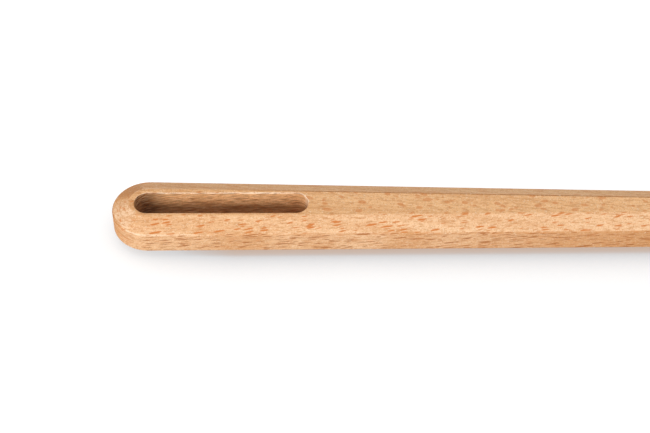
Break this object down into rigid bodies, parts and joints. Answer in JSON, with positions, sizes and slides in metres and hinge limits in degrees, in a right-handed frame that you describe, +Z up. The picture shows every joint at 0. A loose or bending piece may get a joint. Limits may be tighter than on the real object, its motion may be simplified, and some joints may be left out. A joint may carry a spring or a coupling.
{
  "type": "silicone spatula",
  "caption": "Kitchen spatula with a bevelled wooden handle, a long hanging slot in the butt and a flexible silicone head that pulls off a tongue for washing.",
  "frame": {"origin": "under the middle of the part's bounding box, on the surface that it lies on", "axes": "+X from the handle's butt to the blade's tip, +Y to the blade's squarer corner, +Z up, square to the blade's broad face"},
  "size_m": [0.3204, 0.058, 0.0163],
  "materials": {
    "beech": "sanded and oiled, satin, with fine ray flecks",
    "nylon": "moulded, matt",
    "silicone": "moulded, soft satin"
  },
  "bodies": {
    "handle": {"handle": "beech"},
    "head": {"head_core": "nylon", "silicone_blade": "silicone"}
  },
  "joints": [
    {"name": "head_pull", "type": "slide", "parent": "handle", "child": "head", "axis": [1, 0, 0], "range_m": [0, 0.04]}
  ]
}
